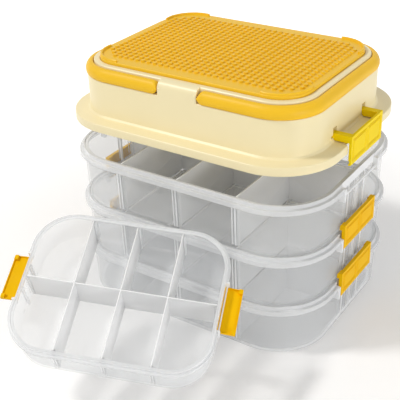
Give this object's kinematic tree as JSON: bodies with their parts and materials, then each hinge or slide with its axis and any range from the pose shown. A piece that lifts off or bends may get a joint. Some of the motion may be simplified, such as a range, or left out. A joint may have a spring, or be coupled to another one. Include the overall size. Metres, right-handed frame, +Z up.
{
  "type": "building block storage box",
  "caption": "Stacking storage box: clear divided trays with side latches, a deep lid with a studded top plate and two fold-up handles, and a small tray shown in front.",
  "frame": {"origin": "middle of the bottom tray's underside, on the surface the stack stands on", "axes": "+X along the long side to the right, +Y to the back, +Z up"},
  "size_m": [0.3446, 0.4787, 0.3088],
  "materials": {
    "frosted_clear": "frosted translucent",
    "milky_divider": "milky translucent",
    "cream": "satin",
    "amber": "satin gloss",
    "latch_yellow": "satin gloss"
  },
  "bodies": {
    "bottom_tray": {"bottom_tray_shell": "frosted_clear", "bottom_tray_spine_divider": "milky_divider", "bottom_tray_left_divider": "milky_divider", "bottom_tray_middle_divider": "milky_divider", "bottom_tray_right_divider": "milky_divider"},
    "middle_tray": {"middle_tray_shell": "frosted_clear", "middle_tray_spine_divider": "milky_divider", "middle_tray_left_divider": "milky_divider", "middle_tray_middle_divider": "milky_divider", "middle_tray_right_divider": "milky_divider"},
    "top_tray": {"top_tray_shell": "frosted_clear", "top_tray_spine_divider": "milky_divider", "top_tray_left_divider": "milky_divider", "top_tray_middle_divider": "milky_divider", "top_tray_right_divider": "milky_divider"},
    "lid": {"lid_hood": "cream", "studded_baseplate": "amber"},
    "right_handle": {"right_handle": "amber"},
    "lid_right_latch": {"lid_right_latch": "latch_yellow"},
    "bottom_tray_right_latch": {"bottom_tray_right_latch": "latch_yellow"},
    "middle_tray_right_latch": {"middle_tray_right_latch": "latch_yellow"},
    "left_handle": {"left_handle": "amber"},
    "lid_left_latch": {"lid_left_latch": "latch_yellow"},
    "bottom_tray_left_latch": {"bottom_tray_left_latch": "latch_yellow"},
    "middle_tray_left_latch": {"middle_tray_left_latch": "latch_yellow"},
    "front_tray": {"front_tray_shell": "frosted_clear", "front_tray_spine_divider": "milky_divider", "front_tray_left_divider": "milky_divider", "front_tray_middle_divider": "milky_divider", "front_tray_right_divider": "milky_divider"},
    "front_tray_right_latch": {"front_tray_right_latch": "latch_yellow"},
    "front_tray_left_latch": {"front_tray_left_latch": "latch_yellow"}
  },
  "joints": [
    {"name": "middle_tray_lift", "type": "slide", "parent": "bottom_tray", "child": "middle_tray", "axis": [0, 0, 1], "range_m": [0, 0.12]},
    {"name": "top_tray_lift", "type": "slide", "parent": "middle_tray", "child": "top_tray", "axis": [0, 0, 1], "range_m": [0, 0.12]},
    {"name": "lid_lift", "type": "slide", "parent": "top_tray", "child": "lid", "axis": [0, 0, 1], "range_m": [-0.041, 0.12]},
    {"name": "front_tray_lift", "type": "slide", "parent": "bottom_tray", "child": "front_tray", "axis": [0, 0, 1], "range_m": [-0.0465, 0.12]},
    {"name": "right_handle_fold", "type": "hinge", "parent": "lid", "child": "right_handle", "pos_m": [0.03335, 0, 0.29465], "axis": [0, -1, 0], "range_deg": [0, 95]},
    {"name": "lid_right_latch_swing", "type": "hinge", "parent": "lid", "child": "lid_right_latch", "pos_m": [0.1495, 0, 0.249], "axis": [0, -1, 0], "range_deg": [-2, 50]},
    {"name": "bottom_tray_right_latch_swing", "type": "hinge", "parent": "bottom_tray", "child": "bottom_tray_right_latch", "pos_m": [0.1675, 0, 0.0515], "axis": [0, 1, 0], "range_deg": [-4, 95]},
    {"name": "middle_tray_right_latch_swing", "type": "hinge", "parent": "middle_tray", "child": "middle_tray_right_latch", "pos_m": [0.1675, 0, 0.1165], "axis": [0, 1, 0], "range_deg": [-4, 95]},
    {"name": "front_tray_right_latch_swing", "type": "hinge", "parent": "front_tray", "child": "front_tray_right_latch", "pos_m": [0.10932, -0.20116, 0.10738], "axis": [-0.3149, 0.8514, 0.4195], "range_deg": [-99, 0]},
    {"name": "left_handle_fold", "type": "hinge", "parent": "lid", "child": "left_handle", "pos_m": [-0.03335, 0, 0.29465], "axis": [0, 1, 0], "range_deg": [0, 95]},
    {"name": "lid_left_latch_swing", "type": "hinge", "parent": "lid", "child": "lid_left_latch", "pos_m": [-0.1495, 0, 0.249], "axis": [0, 1, 0], "range_deg": [-2, 50]},
    {"name": "bottom_tray_left_latch_swing", "type": "hinge", "parent": "bottom_tray", "child": "bottom_tray_left_latch", "pos_m": [-0.1675, 0, 0.0515], "axis": [0, -1, 0], "range_deg": [-4, 95]},
    {"name": "middle_tray_left_latch_swing", "type": "hinge", "parent": "middle_tray", "child": "middle_tray_left_latch", "pos_m": [-0.1675, 0, 0.1165], "axis": [0, -1, 0], "range_deg": [-4, 95]},
    {"name": "front_tray_left_latch_swing", "type": "hinge", "parent": "front_tray", "child": "front_tray_left_latch", "pos_m": [-0.09057, -0.2839, 0.12524], "axis": [0.3149, -0.8514, -0.4195], "range_deg": [-99, 0]}
  ]
}
